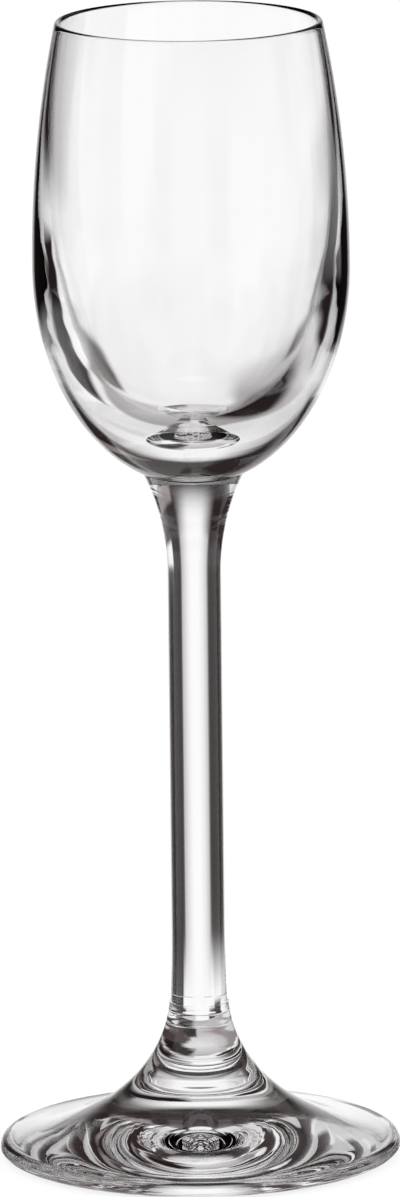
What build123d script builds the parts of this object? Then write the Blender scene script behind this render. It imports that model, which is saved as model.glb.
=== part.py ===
from build123d import *

import os
from math import atan2, cos, degrees, hypot, pi, sin, sqrt

# A clear cordial glass on a tall stem, as three pieces of glass that are fused end to end.
# The foot stands on the table, the stem stands on the foot's collar, and the bowl sits on the stem's head.
# Each piece is a profile turned about the vertical axis. Sizes are in millimetres, +Z is up, and the
# origin is the centre of the circle that the foot stands on.

# Overall
overall_height = 160.0

# Foot: a wide disc with a rounded edge that sweeps up into a narrow collar
foot_radius = 28.0
foot_height = 21.6
edge_thickness = 2.4
edge_widest_height = 1.05
edge_round_above = 1.0
edge_round_below = 2.55
collar_radius = 4.13
sweep_past_edge = 1.8
sweep_past_collar = 1.5

# The foot's underside: a flat ring to stand on, and a bell-shaped hollow inside it
flat_ring_width = 1.45
hollow_height = 3.4
hollow_flare = 2.5
hollow_points = 12

# Stem: a straight rod with a short toe below and a flared head above
stem_length = 75.2
stem_radius = 3.72
stem_toe_radius = 3.93
stem_toe_length = 10.4
stem_head_radius = 7.0
stem_head_length = 13.9

# Bowl: a tulip with a thick base, a thin wall and a fire-polished lip
rim_radius = 18.5
lip_thickness = 0.85
belly_radius = 21.95
belly_below_rim = 34.0

# The bowl's hollow: its widest point, its floor, and how full its curve is at the floor and at the side
side_wall = 2.35
shoulder_below_rim = 23.5
base_thickness = 7.0
floor_fullness = 2.5
side_fullness = 2.2
cavity_points = 16

# Heights and radii that follow from the stack of pieces
stem_bottom = foot_height
bowl_bottom = stem_bottom + stem_length
belly_height = overall_height - belly_below_rim
shoulder_height = overall_height - shoulder_below_rim
cavity_floor = bowl_bottom + base_thickness
cavity_radius = belly_radius - side_wall
lip_round = lip_thickness / 2.0
lip_center = (rim_radius - lip_round, overall_height - lip_round)
flat_ring_radius = foot_radius - edge_round_below
hollow_radius = flat_ring_radius - flat_ring_width


def ellipse_through(center, first, second):
    """The two half axes of the upright ellipse about center that passes through two points."""
    ax, az = (first[0] - center[0]) ** 2, (first[1] - center[1]) ** 2
    bx, bz = (second[0] - center[0]) ** 2, (second[1] - center[1]) ** 2
    spread = ax * bz - bx * az
    return sqrt(spread / (bz - az)), sqrt(spread / (ax - bx))


def ellipse_arc(center, half_width, half_height, first, second):
    """The stretch of an upright ellipse from one of its points to another, the short way round."""

    def turn(point):
        return degrees(atan2((point[1] - center[1]) / half_height, (point[0] - center[0]) / half_width))

    start = turn(first)
    sweep = (turn(second) - start + 180.0) % 360.0 - 180.0
    return EllipticalCenterArc(center, half_width, half_height, start, arc_size=sweep)


def wall_onto_lip(widest, side):
    """Where a wall that stands upright at its widest point runs onto the lip, as an angle about the lip.

    The wall is a circular arc that touches the lip's circle, from outside it (side 1) or inside it (side -1).
    """
    inward = widest[0] - side * lip_round - lip_center[0]
    upward = lip_center[1] - widest[1]
    reach = hypot(inward, upward) ** 2 / (2.0 * inward)
    return atan2(upward, reach - inward)


def on_lip(angle, side):
    """The point of the lip's circle at that angle, on its outer side (1) or its inner side (-1)."""
    return (lip_center[0] + side * lip_round * cos(angle), lip_center[1] + side * lip_round * sin(angle))


def cavity_curve():
    """The bowl's hollow below its shoulder, as a smooth curve from the side wall to the floor.

    Radius and depth follow powers of a cosine and a sine. A fullness of 2 both ways is an ellipse, and more of it
    at the floor or at the side keeps the curve flat for longer there.
    """
    points = []
    for step in range(cavity_points + 1):
        turn = pi / 2.0 * step / cavity_points
        radius = cavity_radius * max(cos(turn), 0.0) ** (2.0 / floor_fullness)
        depth = (shoulder_height - cavity_floor) * sin(turn) ** (2.0 / side_fullness)
        points.append((radius, shoulder_height - depth))
    points[-1] = (0.0, cavity_floor)
    return Spline(points, tangents=[(0.0, -1.0), (-1.0, 0.0)])


def hollow_curve():
    """The foot's hollow, as a smooth bell from its top on the axis down to the flat ring.

    Its height follows a power of one minus the squared share of the radius. A flare of 1 is a plain dome, and
    more of it draws the bell in and lets it run out more gently.
    """
    points = []
    for step in range(hollow_points + 1):
        share = step / hollow_points
        points.append((hollow_radius * share, hollow_height * (1.0 - share**2) ** hollow_flare))
    return Spline(points, tangents=[(1.0, 0.0), (1.0, 0.0)])


def turned(profile):
    """The solid that a closed profile, drawn with radius across and height up, makes about the axis."""
    return revolve(Plane.XZ * make_face(profile), Axis.Z)


def foot():
    """The disc with its rounded edge, the sweep that rises to the collar, and the hollow underneath."""
    edge_top = (foot_radius - edge_round_above, edge_thickness)
    edge_side = (foot_radius, edge_widest_height)
    edge_bottom = (flat_ring_radius, 0.0)
    collar_top = (collar_radius, foot_height)
    hollow_edge = (hollow_radius, 0.0)
    hollow_top = (0.0, hollow_height)
    sweep_center = (foot_radius + sweep_past_edge, foot_height + sweep_past_collar)
    sweep_width, sweep_height = ellipse_through(sweep_center, collar_top, edge_top)
    round_above = (edge_top[0], edge_widest_height)
    round_below = (edge_bottom[0], edge_widest_height)
    above_height = edge_thickness - edge_widest_height
    return turned(
        [
            Line(hollow_top, (0.0, foot_height)),
            Line((0.0, foot_height), collar_top),
            ellipse_arc(sweep_center, sweep_width, sweep_height, collar_top, edge_top),
            ellipse_arc(round_above, edge_round_above, above_height, edge_top, edge_side),
            ellipse_arc(round_below, edge_round_below, edge_widest_height, edge_side, edge_bottom),
            Line(edge_bottom, hollow_edge),
            hollow_curve(),
        ]
    )


def stem():
    """The rod, from its toe on the foot's collar to the flared head that carries the bowl."""
    toe_top = (stem_radius, stem_bottom + stem_toe_length)
    head_bottom = (stem_radius, bowl_bottom - stem_head_length)
    toe = (stem_toe_radius, stem_bottom)
    head = (stem_head_radius, bowl_bottom)
    return turned(
        [
            Line((0.0, stem_bottom), toe),
            TangentArc(toe_top, toe, tangent=(0.0, -1.0)),
            Line(toe_top, head_bottom),
            TangentArc(head_bottom, head, tangent=(0.0, 1.0)),
            Line(head, (0.0, bowl_bottom)),
            Line((0.0, bowl_bottom), (0.0, stem_bottom)),
        ]
    )


def bowl():
    """The tulip: part of an ellipse below its widest point and an arc above it, with the hollow inside."""
    belly = (belly_radius, belly_height)
    shoulder = (cavity_radius, shoulder_height)
    head = (stem_head_radius, bowl_bottom)
    floor = (0.0, cavity_floor)
    lean_outside = wall_onto_lip(belly, 1)
    lean_inside = wall_onto_lip(shoulder, -1)
    lip_outside = on_lip(lean_outside, 1)
    lip_inside = on_lip(lean_inside, -1)
    lip_sweep = degrees(pi + lean_inside - lean_outside)
    base_drop = (belly_height - bowl_bottom) / sqrt(1.0 - (stem_head_radius / belly_radius) ** 2)
    return turned(
        [
            Line((0.0, bowl_bottom), head),
            ellipse_arc((0.0, belly_height), belly_radius, base_drop, belly, head),
            TangentArc(belly, lip_outside, tangent=(0.0, 1.0)),
            CenterArc(lip_center, lip_round, degrees(lean_outside), lip_sweep),
            TangentArc(shoulder, lip_inside, tangent=(0.0, 1.0)),
            cavity_curve(),
            Line(floor, (0.0, bowl_bottom)),
        ]
    )


os.makedirs("parts", exist_ok=True)
for name, piece in {"foot": foot(), "stem": stem(), "bowl": bowl()}.items():
    export_step(piece, f"parts/{name}.step")
    print(name, "volume", round(piece.volume, 1), "mm3")
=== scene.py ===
# %% [markdown]
# # A cordial glass in three pieces
# A cordial glass is small, heavy in the base and made while the glass is hot: a tulip bowl, a rod
# of a stem and a wide foot, each fused to the next. All three are round about one upright axis, so
# each is a single profile that is carried around that axis. The CAD solids give the sizes, and this
# lesson adds what a render of glass needs: fine curves, a rounded lip, the marks of the tools, and
# a studio for the glass to show.

import math

import bpy
import mathutils
import numpy as np
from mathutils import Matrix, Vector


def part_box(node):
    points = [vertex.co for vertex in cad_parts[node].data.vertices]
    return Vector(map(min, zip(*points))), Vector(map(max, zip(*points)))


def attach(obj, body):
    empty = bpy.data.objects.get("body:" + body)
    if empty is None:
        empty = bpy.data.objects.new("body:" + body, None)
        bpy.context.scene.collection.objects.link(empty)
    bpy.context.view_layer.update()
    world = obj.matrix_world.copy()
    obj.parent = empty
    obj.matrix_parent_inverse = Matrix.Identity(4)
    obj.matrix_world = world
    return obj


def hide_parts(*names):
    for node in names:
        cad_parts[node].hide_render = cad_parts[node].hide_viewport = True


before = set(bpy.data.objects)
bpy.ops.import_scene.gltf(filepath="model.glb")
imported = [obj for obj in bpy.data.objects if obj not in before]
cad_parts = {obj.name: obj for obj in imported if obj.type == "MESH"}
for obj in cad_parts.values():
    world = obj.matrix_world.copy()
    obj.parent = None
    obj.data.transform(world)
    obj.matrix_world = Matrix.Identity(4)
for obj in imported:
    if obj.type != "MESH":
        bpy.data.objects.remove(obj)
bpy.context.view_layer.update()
mm = 0.001
foot_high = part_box("foot")[1]
stem_low, stem_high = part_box("stem")
bowl_low, bowl_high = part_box("bowl")

# %% [markdown]
# ## Curves for a profile
# A profile is a list of radius and height pairs. It starts on the axis, runs along the outside of
# the piece and comes back to the axis, and it is put together from a few kinds of run: straight
# ones, stretches of an ellipse, and arcs that leave a wall upright. Each run is worked out as one
# numpy array from its formula.

# %% Runs of points
def straight_run(start, end, count):
    """Evenly spaced points of a straight line."""
    return np.linspace(start, end, count)


def ellipse_run(center, half, first, last, count):
    """Center plus the half widths times the cosine and sine of an angle, even from first to last."""
    angle = np.linspace(first, last, count)
    return np.column_stack([np.cos(angle), np.sin(angle)]) * half + center


def upright_arc(start, end, count):
    """A circular arc that stands upright at start and passes through end.

    Its centre is level with start, at half the squared chord over the step in radius. A centre on
    the far side of the wall gives a negative distance, and the same formula then swells outward
    instead of inward.
    """
    inward = start[0] - end[0]
    upward = end[1] - start[1]
    reach = (inward**2 + upward**2) / (2.0 * inward)
    center = (start[0] - reach, start[1])
    last = math.atan2(upward / reach, (end[0] - center[0]) / reach)
    return ellipse_run(center, (reach, reach), 0.0, last, count)


smallest_step = 1e-9


def joined(*runs):
    """The runs one after another, with each point that repeats the one before it left out."""
    points = np.concatenate(runs)
    step = np.hypot(*np.diff(points, axis=0).T)
    return points[np.concatenate([[True], step > smallest_step])]


# %% [markdown]
# ## Ring marks
# A foot that is shaped against a turning iron keeps fine rings on its skin, far too shallow to feel
# as steps, yet each one bends light enough to draw a thin line. They are laid on a run as a small
# wave across it. Doing this in the profile costs nothing, and the rings then follow the axis
# exactly, as turned marks do.

# %% Rings on a run
drift_waves = 2.3


def ring_marked(run, depth, pitch, drift=0.0):
    """The run moved along its normal by a sine of the distance along it, faded in and out.

    The fade is the squared sine of the share of the length, so both ends stay where they were. The
    drift slowly stretches and squeezes the pitch, because no two marks of a tool are equally far
    apart.
    """
    heading = np.gradient(run, axis=0)
    heading /= np.linalg.norm(heading, axis=1, keepdims=True)
    normal = np.column_stack([heading[:, 1], -heading[:, 0]])
    step = np.linalg.norm(np.diff(run, axis=0), axis=1)
    along = np.concatenate([[0.0], np.cumsum(step)])
    share = along / along[-1]
    turn = 2.0 * np.pi * along / pitch + drift * np.sin(2.0 * np.pi * drift_waves * share)
    wave = np.sin(np.pi * share) ** 2 * np.sin(turn)
    return run + depth * wave[:, None] * normal


# %% [markdown]
# ## The lathe
# Carrying the profile around the axis closes the skin without a seam. A Screw modifier could do
# that too, but the grid worked out in numpy keeps a single vertex at each pole, lets the fused
# faces take their own material, and lets the wall wander a little, as the wall of hand-made glass
# does.

# %% Carrying a profile around the axis
AROUND = 240
level_tolerance = 1e-7
flat_facing = 0.999
sharp_angle = math.radians(35.0)


def turned_piece(name, profile, fused_levels, wander=None):
    """A closed skin: radius times the cosine and sine of the angle, and the profile's height.

    The first and last points of the profile are the two poles. The wander, if given, is a function
    of the angle, the height and the share of the way along the profile, and its value is added to
    the radius. Faces flat on one of the fused levels are where the glass has melted into the next
    piece, and they take the second material.
    """
    angle = np.arange(AROUND) * (2.0 * np.pi / AROUND)
    ring = profile[1:-1]
    rows = len(ring)
    along = np.arange(rows)[:, None] / (rows - 1.0)
    radius = np.repeat(ring[:, :1], AROUND, axis=1)
    up = np.repeat(ring[:, 1:], AROUND, axis=1)
    if wander is not None:
        radius = radius + wander(angle, up, along)
    around = np.stack([radius * np.cos(angle), radius * np.sin(angle), up], axis=-1).reshape(-1, 3)
    points = np.concatenate([around, [[0.0, 0.0, profile[0, 1]], [0.0, 0.0, profile[-1, 1]]]])
    here = np.arange(AROUND)
    after = (here + 1) % AROUND
    base = np.arange(rows - 1)[:, None] * AROUND
    above = base + AROUND
    quads = np.stack([base + here, base + after, above + after, above + here], axis=-1).reshape(-1, 4)
    last_row = (rows - 1) * AROUND
    first_fan = np.column_stack([np.full(AROUND, rows * AROUND), after, here])
    top_pole = np.full(AROUND, rows * AROUND + 1)
    last_fan = np.column_stack([last_row + here, last_row + after, top_pole])
    fans = np.concatenate([first_fan, last_fan])
    corners = np.concatenate([quads.ravel(), fans.ravel()])
    sizes = np.concatenate([np.full(len(quads), 4), np.full(len(fans), 3)])
    starts = np.concatenate([[0], np.cumsum(sizes)[:-1]])
    mesh = bpy.data.meshes.new(name)
    mesh.vertices.add(len(points))
    mesh.vertices.foreach_set("co", points.ravel())
    mesh.loops.add(len(corners))
    mesh.loops.foreach_set("vertex_index", corners.astype(np.int32))
    mesh.polygons.add(len(sizes))
    mesh.polygons.foreach_set("loop_start", starts.astype(np.int32))
    mesh.update(calc_edges=True)
    mesh.polygons.foreach_set("use_smooth", np.ones(len(sizes), dtype=bool))
    middle = np.empty(len(sizes) * 3)
    mesh.polygons.foreach_get("center", middle)
    facing = np.empty(len(sizes) * 3)
    mesh.polygons.foreach_get("normal", facing)
    fused = np.zeros(len(sizes), dtype=bool)
    for level in fused_levels:
        on_level = np.abs(middle[2::3] - level) < level_tolerance
        fused |= on_level & (np.abs(facing[2::3]) > flat_facing)
    mesh.polygons.foreach_set("material_index", fused.astype(np.int32))
    mesh.set_sharp_from_angle(angle=sharp_angle)
    mesh.validate()
    piece = bpy.data.objects.new(name, mesh)
    bpy.context.collection.objects.link(piece)
    triangles = 2 * len(quads) + len(fans)
    print(name, "points", len(points), "triangles", triangles, "fused faces", int(fused.sum()))
    return piece


# %% [markdown]
# ## The bowl
# The tulip is thickest at its base and thins to under a millimetre at the lip. Outside, part of an
# ellipse carries an arc. Inside, a rounded curve that is fuller than an ellipse carries another
# arc. Both arcs run onto the lip's small circle without a corner, because a fire-polished lip is a
# rounded bead of glass.

# %% Bowl profile
bowl_bottom = bowl_low[2]
rim_height = bowl_high[2]
belly_radius = bowl_high[0]
head_radius = stem_high[0]
lip_round = 0.425 * mm
rim_radius = 18.5 * mm
belly_height = rim_height - 34.0 * mm
shoulder_height = rim_height - 23.5 * mm
shoulder_radius = belly_radius - 2.35 * mm
cavity_floor = bowl_bottom + 7.0 * mm
lip_center = (rim_radius - lip_round, rim_height - lip_round)


def lean_at_lip(widest_radius, widest_height, side):
    """The angle about the lip at which a wall touches it, from outside (1) or from inside (-1).

    The wall is an arc that stands upright at its widest point, so its radius less the lip's own
    radius, taken with its sign, is half the squared distance to the lip's centre over the step in
    radius.
    """
    inward = widest_radius - side * lip_round - lip_center[0]
    upward = lip_center[1] - widest_height
    reach = (inward**2 + upward**2) / (2.0 * inward)
    return math.atan2(upward, reach - inward)


def on_lip(lean, side):
    """The lip's centre plus or minus the lip's radius along the lean."""
    return (
        lip_center[0] + side * lip_round * math.cos(lean),
        lip_center[1] + side * lip_round * math.sin(lean),
    )


def cavity_run(count, floor_fullness=2.5, side_fullness=2.2):
    """The hollow below the shoulder: a cosine and a sine, each to the power of two over a fullness."""
    turn = np.linspace(0.0, math.pi / 2.0, count)
    radius = shoulder_radius * np.abs(np.cos(turn)) ** (2.0 / floor_fullness)
    depth = (shoulder_height - cavity_floor) * np.sin(turn) ** (2.0 / side_fullness)
    radius[-1] = 0.0
    return np.column_stack([radius, shoulder_height - depth])


lean_out = lean_at_lip(belly_radius, belly_height, 1)
lean_in = lean_at_lip(shoulder_radius, shoulder_height, -1)
base_drop = (belly_height - bowl_bottom) / math.sqrt(1.0 - (head_radius / belly_radius) ** 2)
base_start = -math.acos(head_radius / belly_radius)
bowl_profile = joined(
    straight_run((0.0, bowl_bottom), (head_radius, bowl_bottom), count=2),
    ellipse_run((0.0, belly_height), (belly_radius, base_drop), base_start, 0.0, count=90),
    upright_arc((belly_radius, belly_height), on_lip(lean_out, 1), count=50),
    ellipse_run(lip_center, (lip_round, lip_round), lean_out, math.pi + lean_in, count=15),
    upright_arc((shoulder_radius, shoulder_height), on_lip(lean_in, -1), count=40)[::-1],
    cavity_run(count=140),
)

# %% [markdown]
# Hot glass that meets a cooler iron wrinkles a little. Inside this bowl the wrinkles are a few
# thousandths of a millimetre deep and lie in the thick lower half, where they give the dark
# reflections their uneven edges. A bump in the material could stand in for them, but they belong to
# the shape, so they are worked into the grid.

# %% Bowl
level_wrinkle = 0.003 * mm
level_pitch = 4.1 * mm
upright_wrinkle = 0.004 * mm
upright_count = 11.0
upright_start = 0.4
sway = 1.9
sway_pitch = 9.0 * mm
# Size, waves around the axis and start of each bend.
bends = [(2.0, 5.0, 0.7), (1.3, 9.0, 0.0)]


def wrinkled_inside(angle, height, along):
    """Two crossed waves, of height and of angle, each bent by the other and faded out at both ends.

    Only the later half of the profile takes them, because that is the inside of the bowl.
    """
    rise = (height - cavity_floor) / (shoulder_height - cavity_floor)
    fade = np.sin(np.pi * np.clip(rise, 0.0, 1.0))
    bend = sum(size * np.sin(count * angle + start) for size, count, start in bends)
    level = np.sin(2.0 * np.pi * height / level_pitch + bend)
    swayed = sway * np.sin(2.0 * np.pi * height / sway_pitch)
    upright = np.sin(upright_count * angle + swayed + upright_start)
    return np.where(along > 0.5, fade * (level_wrinkle * level + upright_wrinkle * upright), 0.0)


bowl_glass = turned_piece("bowl_glass", bowl_profile, [bowl_bottom], wrinkled_inside)
print("lip radius", round(rim_radius / mm, 2), "mm")
print("wall at the lip", round(2.0 * lip_round / mm, 2), "mm")

# %% [markdown]
# ## The stem
# The stem is a drawn rod. It widens a little at its toe, which stands on the foot, and flares at
# its head, where the bowl was set on it. Both ends are arcs that leave the straight rod without a
# corner.

# %% Stem
stem_radius = 3.72 * mm
toe_radius = 3.93 * mm
stem_bottom = stem_low[2]
toe_top = stem_bottom + 10.4 * mm
head_start = stem_high[2] - 13.9 * mm
stem_profile = joined(
    straight_run((0.0, stem_bottom), (toe_radius, stem_bottom), count=2),
    upright_arc((stem_radius, toe_top), (toe_radius, stem_bottom), count=16)[::-1],
    straight_run((stem_radius, toe_top), (stem_radius, head_start), count=12),
    upright_arc((stem_radius, head_start), (head_radius, bowl_bottom), count=40),
    straight_run((head_radius, bowl_bottom), (0.0, bowl_bottom), count=2),
)
stem_glass = turned_piece("stem_glass", stem_profile, [stem_bottom, bowl_bottom])
print("stem", round(2.0 * stem_radius / mm, 2), "mm thick")

# %% [markdown]
# ## The foot
# The foot is a disc that sweeps up into a collar, on part of an ellipse. Its edge is thick and
# rounded. Underneath it is hollowed like a bell and stands on a flat ring. Faint rings are left on
# the cone, a few fine grooves run around the edge, and a seam runs around the collar where the
# glass was gathered.

# %% Foot
foot_radius = foot_high[0]
foot_height = foot_high[2]
collar_radius = 4.13 * mm
edge_thickness = 2.4 * mm
edge_middle = 1.05 * mm
edge_top = (foot_radius - 1.0 * mm, edge_thickness)
flat_ring_radius = foot_radius - 2.55 * mm
hollow_radius = flat_ring_radius - 1.45 * mm
hollow_height = 3.4 * mm
hollow_flare = 2.5
sweep_center = (foot_radius + 1.8 * mm, foot_height + 1.5 * mm)
sweep_offsets = (np.array([edge_top, (collar_radius, foot_height)]) - sweep_center) ** 2
sweep_half = 1.0 / np.sqrt(np.linalg.solve(sweep_offsets, np.ones(2)))


def sweep_run(low, high, count):
    """The sweep's ellipse between two heights, evenly spaced in its own angle."""
    turns = [math.pi + math.asin((sweep_center[1] - height) / sweep_half[1]) for height in (low, high)]
    return ellipse_run(sweep_center, sweep_half, turns[0], turns[1], count)


def bell_run(first, last, count):
    """The hollow between two radii: its height times a power of one minus the squared share of radius."""
    radius = np.linspace(first, last, count)
    height = hollow_height * (1.0 - (radius / hollow_radius) ** 2) ** hollow_flare
    return np.column_stack([radius, height])


def edge_run(count):
    """The outer edge: a quarter of an ellipse to its widest point and another quarter to the top."""
    below_half = (foot_radius - flat_ring_radius, edge_middle)
    above_half = (foot_radius - edge_top[0], edge_thickness - edge_middle)
    below = ellipse_run((flat_ring_radius, edge_middle), below_half, -math.pi / 2.0, 0.0, count)
    above = ellipse_run((edge_top[0], edge_middle), above_half, 0.0, math.pi / 2.0, count)
    return joined(below, above)


def grooved(run, heights, depth, width):
    """The run with its radius cut back, at each height, by a depth times a bell curve of the height."""
    offset = (run[:, 1:] - np.array(heights)) / width
    cut = depth * np.exp(-(offset**2)).sum(axis=1)
    return run - np.column_stack([cut, np.zeros(len(run))])


edge_groove_heights = np.array([0.35, 0.8, 1.3, 1.8]) * mm
edge_groove_depth = 0.03 * mm
edge_groove_width = 0.12 * mm
cone_low = 7.0 * mm
cone_high = 17.5 * mm
cone_ring_depth = 0.0025 * mm
cone_ring_pitch = 1.3 * mm
cone_ring_drift = 1.5
seam_height = 18.7 * mm
seam_depth = 0.05 * mm
seam_width = 0.22 * mm
cone_run = sweep_run(cone_low, cone_high, count=90)
foot_profile = joined(
    bell_run(0.0, hollow_radius, count=90),
    straight_run((hollow_radius, 0.0), (flat_ring_radius, 0.0), count=4),
    grooved(edge_run(count=75), edge_groove_heights, edge_groove_depth, edge_groove_width),
    sweep_run(edge_thickness, cone_low, count=30),
    ring_marked(cone_run, cone_ring_depth, cone_ring_pitch, cone_ring_drift),
    grooved(sweep_run(cone_high, foot_height, count=30), [seam_height], seam_depth, seam_width),
    straight_run((collar_radius, foot_height), (0.0, foot_height), count=2),
)
foot_glass = turned_piece("foot_glass", foot_profile, [foot_height])
print("foot", round(2.0 * foot_radius / mm, 1), "mm across")

# %% [markdown]
# ## Clear glass
# All three pieces are the same clear soda glass, which bends light by 1.52 and has no colour to
# speak of. What gives it away as hand-made are faint cords: streaks of slightly different glass,
# drawn out along the piece as it was worked. They are stretched noise that tilts the surface by
# very little, and a trace of tint that follows the same streaks. Both are a node group, so that
# every glass of this lesson can share them.

# %% Cords in the glass
def glass_cords():
    """A tint and a height for the skin: noise of the object's coordinates, stretched along the axis."""
    group = bpy.data.node_groups.new("glass_cords", "ShaderNodeTree")
    group.interface.new_socket("Streaks", in_out="INPUT", socket_type="NodeSocketFloat")
    group.interface.new_socket("Tint", in_out="OUTPUT", socket_type="NodeSocketColor")
    group.interface.new_socket("Height", in_out="OUTPUT", socket_type="NodeSocketFloat")
    given = group.nodes.new("NodeGroupInput")
    result = group.nodes.new("NodeGroupOutput")
    place = group.nodes.new("ShaderNodeTexCoord")
    stretch = group.nodes.new("ShaderNodeMapping")
    stretch.inputs["Scale"].default_value = (1.0, 1.0, 0.35)
    noise = group.nodes.new("ShaderNodeTexNoise")
    noise.inputs["Detail"].default_value = 2.0
    tint = group.nodes.new("ShaderNodeMix")
    tint.data_type = "RGBA"
    tint.inputs["A"].default_value = (1.0, 1.0, 1.0, 1.0)
    tint.inputs["B"].default_value = (0.99, 0.98, 0.986, 1.0)
    group.links.new(place.outputs["Object"], stretch.inputs["Vector"])
    group.links.new(stretch.outputs["Vector"], noise.inputs["Vector"])
    group.links.new(given.outputs["Streaks"], noise.inputs["Scale"])
    group.links.new(noise.outputs["Fac"], tint.inputs["Factor"])
    group.links.new(tint.outputs["Result"], result.inputs["Tint"])
    group.links.new(noise.outputs["Fac"], result.inputs["Height"])
    return group


# %% Glass
cord_depth = 0.006 * mm
clear_glass = bpy.data.materials.new("clear_glass")
clear_glass.use_nodes = True
glass_tree = clear_glass.node_tree
glass_shader = glass_tree.nodes["Principled BSDF"]
glass_shader.inputs["Roughness"].default_value = 0.0
glass_shader.inputs["IOR"].default_value = 1.52
glass_shader.inputs["Transmission Weight"].default_value = 1.0
cords = glass_tree.nodes.new("ShaderNodeGroup")
cords.node_tree = glass_cords()
cords.inputs["Streaks"].default_value = 220.0
skin = glass_tree.nodes.new("ShaderNodeBump")
skin.inputs["Strength"].default_value = 1.0
skin.inputs["Distance"].default_value = cord_depth
glass_tree.links.new(cords.outputs["Tint"], glass_shader.inputs["Base Color"])
glass_tree.links.new(cords.outputs["Height"], skin.inputs["Height"])
glass_tree.links.new(skin.outputs["Normal"], glass_shader.inputs["Normal"])

# %% [markdown]
# Where two pieces are fused there is no air between them, so light goes straight from one into the
# next. The flat faces that meet there are left fully see-through: with an alpha of zero they
# neither bend nor reflect anything.

# %% Fused faces
fused_face = bpy.data.materials.new("fused_face")
fused_face.use_nodes = True
fused_shader = fused_face.node_tree.nodes["Principled BSDF"]
fused_shader.inputs["Base Color"].default_value = (1.0, 1.0, 1.0, 1.0)
fused_shader.inputs["Alpha"].default_value = 0.0

for piece, node in ((bowl_glass, "bowl"), (stem_glass, "stem"), (foot_glass, "foot")):
    piece.data.materials.append(clear_glass)
    piece.data.materials.append(fused_face)
    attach(piece, "root")
    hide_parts(node)
    print(piece.name, "is the glass of", node)

# %% [markdown]
# ## Floor
# The glass stands on a plain pale floor that runs on as the backdrop. It glows almost white by
# itself, and the rest is matte, so that the glass still leaves a faint shadow. Light that has gone
# through glass doesn't meet the floor: it goes on to the studio, which is what the glass is meant
# to show.

# %% Floor
floor_reach = 30.0
floor_corners = [(-floor_reach, -floor_reach, 0.0), (floor_reach, -floor_reach, 0.0)]
floor_corners += [(floor_reach, floor_reach, 0.0), (-floor_reach, floor_reach, 0.0)]
floor_mesh = bpy.data.meshes.new("floor")
floor_mesh.from_pydata(floor_corners, [], [(0, 1, 2, 3)])
floor = bpy.data.objects.new("floor", floor_mesh)
bpy.context.collection.objects.link(floor)
floor.visible_transmission = False
floor.visible_glossy = False
pale = bpy.data.materials.new("pale_floor")
pale.use_nodes = True
pale.node_tree.nodes.clear()
pale_out = pale.node_tree.nodes.new("ShaderNodeOutputMaterial")
both = pale.node_tree.nodes.new("ShaderNodeAddShader")
glow = pale.node_tree.nodes.new("ShaderNodeEmission")
glow.inputs["Strength"].default_value = 0.83
matte = pale.node_tree.nodes.new("ShaderNodeBsdfDiffuse")
matte.inputs["Color"].default_value = (0.2, 0.2, 0.2, 1.0)
pale.node_tree.links.new(glow.outputs["Emission"], both.inputs[0])
pale.node_tree.links.new(matte.outputs["BSDF"], both.inputs[1])
pale.node_tree.links.new(both.outputs["Shader"], pale_out.inputs["Surface"])
floor_mesh.materials.append(pale)
print("floor", 2.0 * floor_reach, "m wide")

# %% [markdown]
# ## A studio for glass
# Glass shows nothing but the room around it, so the look of a glass is the layout of its studio.
# White windows are what shines through its middle, and black flags beside each window draw its dark
# edges. The studio is painted on the world by direction, from two angles: the azimuth, which is 0
# straight behind the glass and positive to the right, and the elevation. Each card is one copy of a
# node group that lays a soft-edged rectangle of those angles over what was there before. Lamps and
# planes could do it as well, but cards on the world stay clean however often a ray turns inside the
# glass.

# %% Node helpers
def math_node(tree, operation, *values):
    """One Math node, with numbers set on its sockets and the other values linked to them."""
    node = tree.nodes.new("ShaderNodeMath")
    node.operation = operation
    for socket, value in zip(node.inputs, values):
        if isinstance(value, float):
            socket.default_value = value
        else:
            tree.links.new(value, socket)
    return node.outputs["Value"]


def nearness(tree, offset, half, softness):
    """One well inside a half width, zero well outside it, and a smooth step across the softness."""
    fade = tree.nodes.new("ShaderNodeMapRange")
    fade.interpolation_type = "SMOOTHSTEP"
    tree.links.new(math_node(tree, "ABSOLUTE", offset), fade.inputs["Value"])
    tree.links.new(math_node(tree, "ADD", half, softness), fade.inputs["From Min"])
    tree.links.new(math_node(tree, "SUBTRACT", half, softness), fade.inputs["From Max"])
    return fade.outputs["Result"]


# %% A card of the studio
DIRECTION = ("Azimuth", "Elevation")
PLACE = ("Middle Azimuth", "Half Width", "Middle Elevation", "Half Height", "Softness")
half_turn = 180.0


def studio_card():
    """A card laid over the light before it, as far as a direction is near its middle in both angles."""
    group = bpy.data.node_groups.new("studio_card", "ShaderNodeTree")
    group.interface.new_socket("Light", in_out="INPUT", socket_type="NodeSocketColor")
    for label in DIRECTION + PLACE:
        group.interface.new_socket(label, in_out="INPUT", socket_type="NodeSocketFloat")
    group.interface.new_socket("Tone", in_out="INPUT", socket_type="NodeSocketColor")
    group.interface.new_socket("Light", in_out="OUTPUT", socket_type="NodeSocketColor")
    given = group.nodes.new("NodeGroupInput").outputs
    result = group.nodes.new("NodeGroupOutput")
    around = math_node(group, "SUBTRACT", given["Azimuth"], given["Middle Azimuth"])
    around = math_node(group, "WRAP", around, half_turn, -half_turn)
    above = math_node(group, "SUBTRACT", given["Elevation"], given["Middle Elevation"])
    wide = nearness(group, around, given["Half Width"], given["Softness"])
    tall = nearness(group, above, given["Half Height"], given["Softness"])
    lay = group.nodes.new("ShaderNodeMix")
    lay.data_type = "RGBA"
    group.links.new(math_node(group, "MULTIPLY", wide, tall), lay.inputs["Factor"])
    group.links.new(given["Light"], lay.inputs["A"])
    group.links.new(given["Tone"], lay.inputs["B"])
    group.links.new(lay.outputs["Result"], result.inputs["Light"])
    return group


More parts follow.
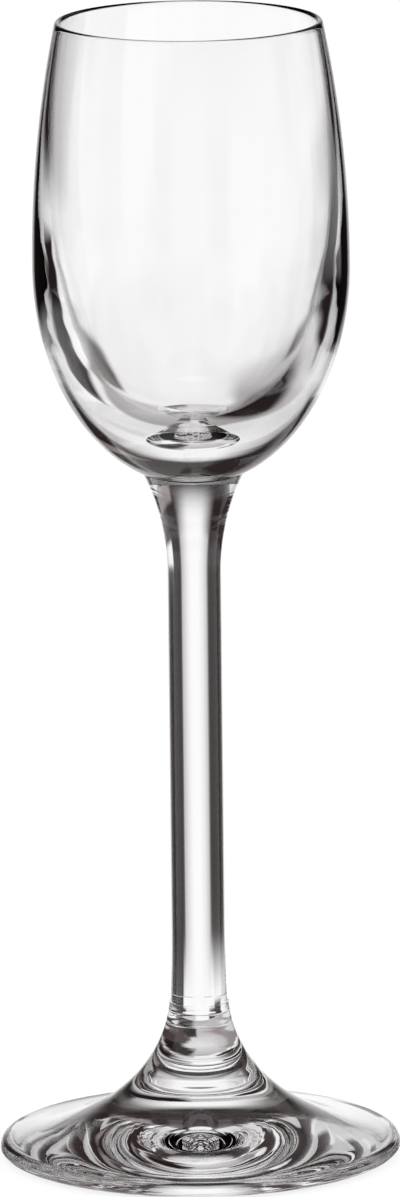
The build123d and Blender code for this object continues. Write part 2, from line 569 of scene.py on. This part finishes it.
# %% [markdown]
# The room itself is a ramp of tones by elevation: a pale lower half under a dark ceiling. The cards
# come in four groups. Behind the glass are a low backdrop, black flags on both sides of it, a light
# overhead and a dim reflector. Around the camera are the walls that glance off the front of the
# glass, with dark strips between them. On the floor lie dark cloths that give the foot its
# contrast. Last come the windows, which are what shines through: a large soft one straight behind
# the glass, which fades towards the flags as the stem does, and smaller ones for the other sides.
# Black cloth is seldom neutral, so the dark tones lean a little to red.

# %% Tones, room and cards
red_lift = 0.5
red_fall = 4


def cloth(tone):
    """A grey with its red raised by a share of itself: the lift times a power of one minus the tone."""
    return (tone * (1.0 + red_lift * (1.0 - tone) ** red_fall), tone, tone, 1.0)


# Elevation in degrees, then tone.
ROOM = [(-90, 0.8), (-45, 0.45), (-25, 0.75), (-10, 0.8), (0, 0.3), (10, 0.02), (90, 0.02)]
# Name; middle azimuth, half width, middle elevation, half height and softness in degrees; tone.
CARDS = [
    # Behind the glass
    ("low_backdrop", -20, 25, -25, 20, 2, 1.0),
    ("left_flag", -35, 35, 10, 25, 2, 0.015),
    ("right_flag", 45, 25, 0, 30, 2, 0.015),
    ("top_light", 0, 60, 80, 10, 2, 1.0),
    ("right_reflector", 70, 45, 25, 10, 2, 0.25),
    # Around the camera
    ("left_softbox", -125, 30, -10, 35, 5, 0.8),
    ("front_wall", 180, 75, 10, 50, 5, 0.75),
    ("front_strip", 130, 65, 20, 10, 5, 0.02),
    ("high_softbox", 135, 15, 40, 15, 5, 1.0),
    ("front_right_flag", 155, 10, -15, 5, 5, 0.03),
    ("front_left_flag", -155, 10, -15, 5, 5, 0.03),
    # On the floor
    ("right_floor_cloth", 90, 80, -55, 15, 5, 0.01),
    ("left_floor_cloth", -110, 65, -45, 10, 5, 0.3),
    ("front_floor_cloth", 105, 30, -50, 25, 5, 0.05),
    ("low_left_flag", -30, 15, -30, 10, 2, 0.015),
    # Windows
    ("right_glow", 65, 25, -5, 5, 2, 1.0),
    ("back_wall", 0, 20, -10, 10, 2, 0.4),
    ("back_window", 0, 15, -5, 20, 10, 1.0),
    ("bowl_window", 0, 25, -20, 5, 2, 1.0),
    ("left_window", -90, 15, -5, 10, 2, 1.0),
    ("front_window", 135, 15, -20, 15, 2, 1.0),
    ("low_left_window", -55, 15, -30, 10, 2, 1.0),
]

# %% World
world = bpy.data.worlds.new("studio")
bpy.context.scene.world = world
world.use_nodes = True
studio = world.node_tree
studio.nodes.clear()
direction = studio.nodes.new("ShaderNodeSeparateXYZ")
sight = studio.nodes.new("ShaderNodeTexCoord")
studio.links.new(sight.outputs["Generated"], direction.inputs["Vector"])
azimuth = math_node(studio, "ARCTAN2", direction.outputs["X"], direction.outputs["Y"])
azimuth = math_node(studio, "DEGREES", azimuth)
elevation = math_node(studio, "DEGREES", math_node(studio, "ARCSINE", direction.outputs["Z"]))
ramp = studio.nodes.new("ShaderNodeValToRGB")
ramp_place = math_node(studio, "MULTIPLY_ADD", elevation, 1.0 / half_turn, 0.5)
studio.links.new(ramp_place, ramp.inputs["Fac"])
while len(ramp.color_ramp.elements) < len(ROOM):
    ramp.color_ramp.elements.new(0.5)
for stop, (height, tone) in zip(ramp.color_ramp.elements, ROOM):
    stop.position = height / half_turn + 0.5
    stop.color = cloth(tone)
light = ramp.outputs["Color"]
card_nodes = studio_card()
for name, *angles, tone in CARDS:
    card = studio.nodes.new("ShaderNodeGroup")
    card.node_tree = card_nodes
    card.name = name
    studio.links.new(light, card.inputs["Light"])
    studio.links.new(azimuth, card.inputs["Azimuth"])
    studio.links.new(elevation, card.inputs["Elevation"])
    for label, value in zip(PLACE, angles):
        card.inputs[label].default_value = value
    card.inputs["Tone"].default_value = cloth(tone)
    light = card.outputs["Light"]
print(len(CARDS), "cards in the studio")

# %% [markdown]
# Seen directly the studio is plain white, so the picture has a clean background and the floor an
# even light. Rays that come out of the glass or glance off it are the ones that see the cards.

# %% White for the camera, cards for the glass
path = studio.nodes.new("ShaderNodeLightPath")
glances = path.outputs["Is Glossy Ray"]
crosses = path.outputs["Is Transmission Ray"]
by_glass = math_node(studio, "MAXIMUM", glances, crosses)
choice = studio.nodes.new("ShaderNodeMix")
choice.data_type = "RGBA"
choice.inputs["A"].default_value = (1.0, 1.0, 1.0, 1.0)
studio.links.new(by_glass, choice.inputs["Factor"])
studio.links.new(light, choice.inputs["B"])
background = studio.nodes.new("ShaderNodeBackground")
studio.links.new(choice.outputs["Result"], background.inputs["Color"])
studio_out = studio.nodes.new("ShaderNodeOutputWorld")
studio.links.new(background.outputs["Background"], studio_out.inputs["Surface"])

# %% [markdown]
# ## Camera
# The picture is tall and narrow and looks down on the glass by about twelve degrees from well back,
# so the rim and the foot are slim ellipses. The lens is given in pixels of a picture 1197 high, and
# a slight roll levels the glass.

# %% Camera
picture_height = 1197
focal_pixels = 11780.0
sensor_height = 36.0
camera_place = np.array([0.0, -1.6, 0.411])
aim = np.array([0.74 * mm, 0.0, 78.9 * mm])
roll = -0.0108
ahead = (aim - camera_place) / np.linalg.norm(aim - camera_place)
level = np.cross(ahead, (0.0, 0.0, 1.0))
level /= np.linalg.norm(level)
over = np.cross(level, ahead)
right = math.cos(roll) * level + math.sin(roll) * over
above = math.cos(roll) * over - math.sin(roll) * level
pose = np.eye(4)
pose[:3] = np.column_stack([right, above, -ahead, camera_place])
lens = bpy.data.cameras.new("camera")
lens.sensor_fit = "VERTICAL"
lens.sensor_height = sensor_height
lens.lens = sensor_height * focal_pixels / picture_height
lens.clip_end = 100.0
camera = bpy.data.objects.new("camera", lens)
camera.matrix_world = mathutils.Matrix(pose.tolist())
bpy.context.collection.objects.link(camera)
bpy.context.scene.camera = camera
print("lens", round(lens.lens, 1), "mm")

# %% [markdown]
# ## Finish
# Light has to cross up to a dozen skins of glass, so the bounces are raised well above their usual
# number.

# %% Finish
scene = bpy.context.scene
scene.view_settings.view_transform = "Standard"
scene.cycles.max_bounces = 24
scene.cycles.transmission_bounces = 24
scene.cycles.glossy_bounces = 12
scene.cycles.transparent_max_bounces = 24
